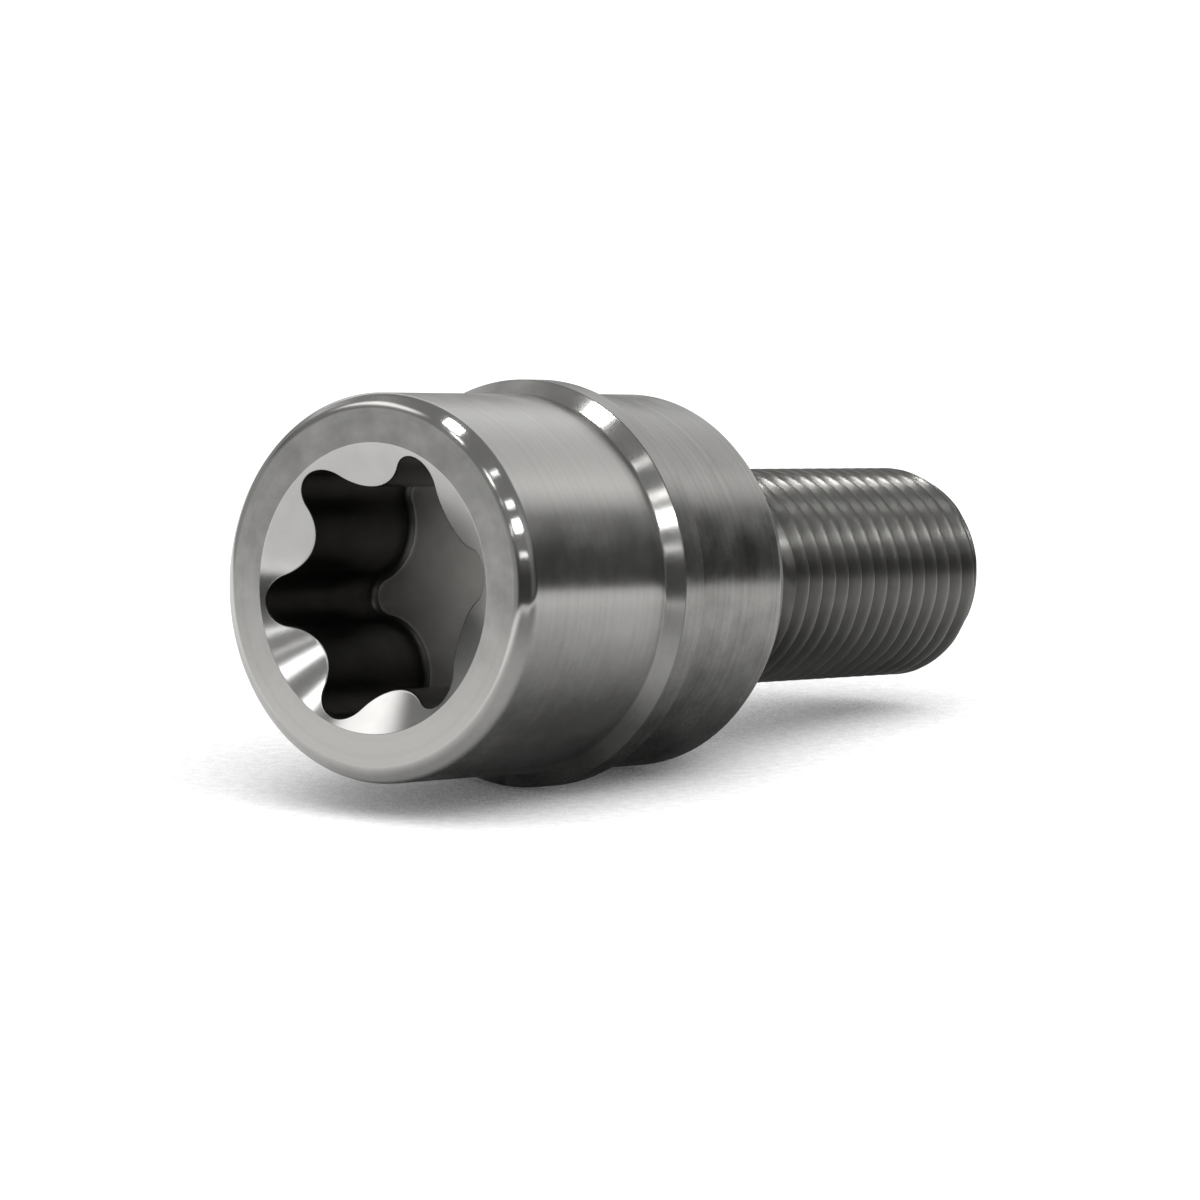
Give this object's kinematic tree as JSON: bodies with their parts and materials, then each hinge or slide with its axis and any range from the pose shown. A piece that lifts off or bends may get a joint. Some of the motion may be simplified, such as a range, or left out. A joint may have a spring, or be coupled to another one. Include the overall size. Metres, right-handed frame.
{
  "type": "wheel bolt",
  "caption": "Turned wheel bolt with a long round head, a deep lobed key socket, a raised collar, a ball seat and a threaded shank.",
  "frame": {"origin": "middle of the head's outer face, which the bolt stands on", "axes": "+Z along the bolt, from the head's face to the threaded tip; +Y through the tip of a key lobe"},
  "size_m": [0.0252, 0.0252, 0.0573],
  "materials": {
    "bare_metal": "bare turned titanium alloy, satin, with fine turning marks"
  },
  "bodies": {
    "root": {"wheel_bolt": "bare_metal"}
  },
  "joints": []
}
